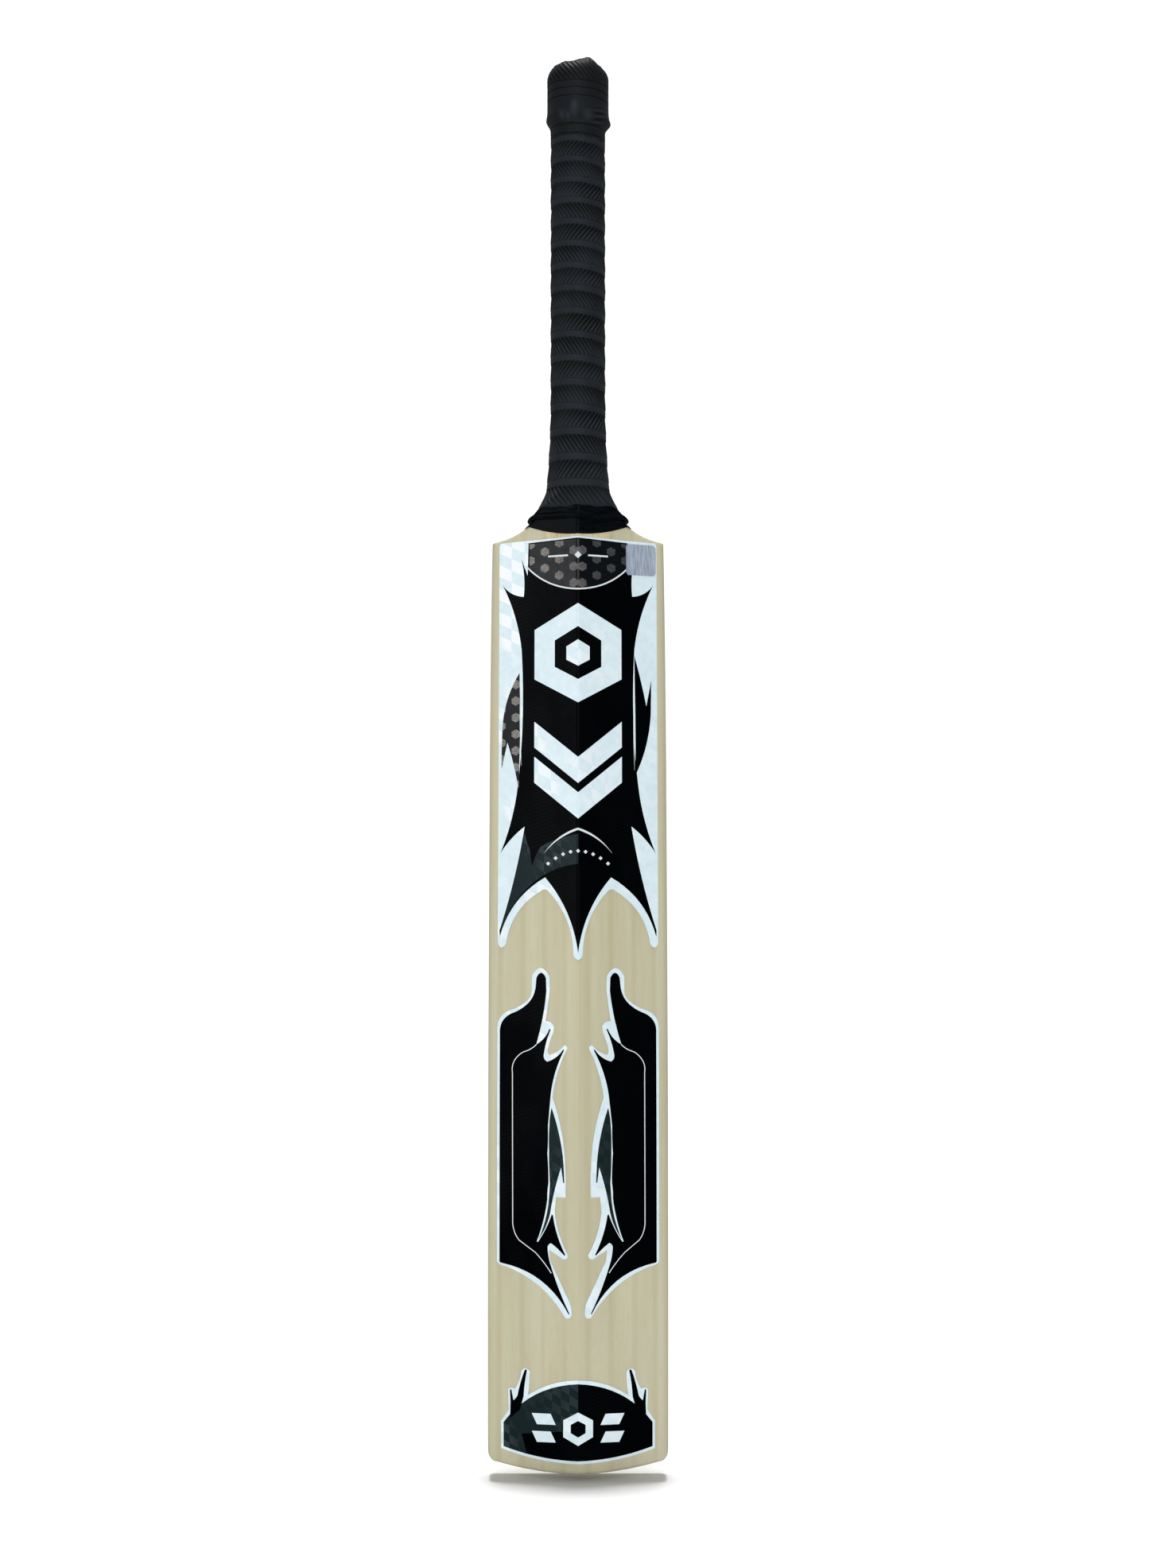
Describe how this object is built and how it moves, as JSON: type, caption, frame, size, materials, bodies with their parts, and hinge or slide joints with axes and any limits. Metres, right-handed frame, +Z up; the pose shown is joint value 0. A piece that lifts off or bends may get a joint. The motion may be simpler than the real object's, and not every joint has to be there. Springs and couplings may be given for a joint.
{
  "type": "cricket bat",
  "caption": "Cricket bat seen from its ridged back: willow blade with a spliced cane handle, ribbed black rubber grip, glossy tape collar and black and pale vinyl labels.",
  "frame": {"origin": "on the handle's axis, 700 mm above the toe, in the middle of the grip", "axes": "+Z up along the handle, +Y out of the flat hitting face, -Y out of the ridged back, +X to the right as the back is seen"},
  "size_m": [0.106, 0.0574, 0.85],
  "materials": {
    "willow": "satin, pale straight-grained willow under a clear finish",
    "cane": "satin, straight-grained cane",
    "spring_rubber": "matte",
    "twine": "waxed linen thread wound in close turns",
    "grip_rubber": "matte moulded rubber with ribbed bands",
    "tape": "glossy black vinyl tape",
    "label": "glossy printed vinyl in black, dark grey and pale blue-white",
    "seal_foil": "silver-blue holographic foil"
  },
  "bodies": {
    "root": {"blade": "willow", "cane_back_left": "cane", "cane_back_middle": "cane", "cane_back_right": "cane", "cane_mid_back_left": "cane", "cane_mid_back_middle": "cane", "cane_mid_back_right": "cane", "cane_mid_face_left": "cane", "cane_mid_face_middle": "cane", "cane_mid_face_right": "cane", "cane_face_left": "cane", "cane_face_middle": "cane", "cane_face_right": "cane", "spring_strip_back": "spring_rubber", "spring_strip_middle": "spring_rubber", "spring_strip_face": "spring_rubber", "twine_binding": "twine", "top_sleeve": "grip_rubber", "grip": "grip_rubber", "grip_end_tape": "tape", "collar_tape": "tape", "back_sticker": "label", "side_sticker_left": "label", "side_sticker_right": "label", "toe_sticker": "label", "seal_sticker": "seal_foil"}
  },
  "joints": []
}
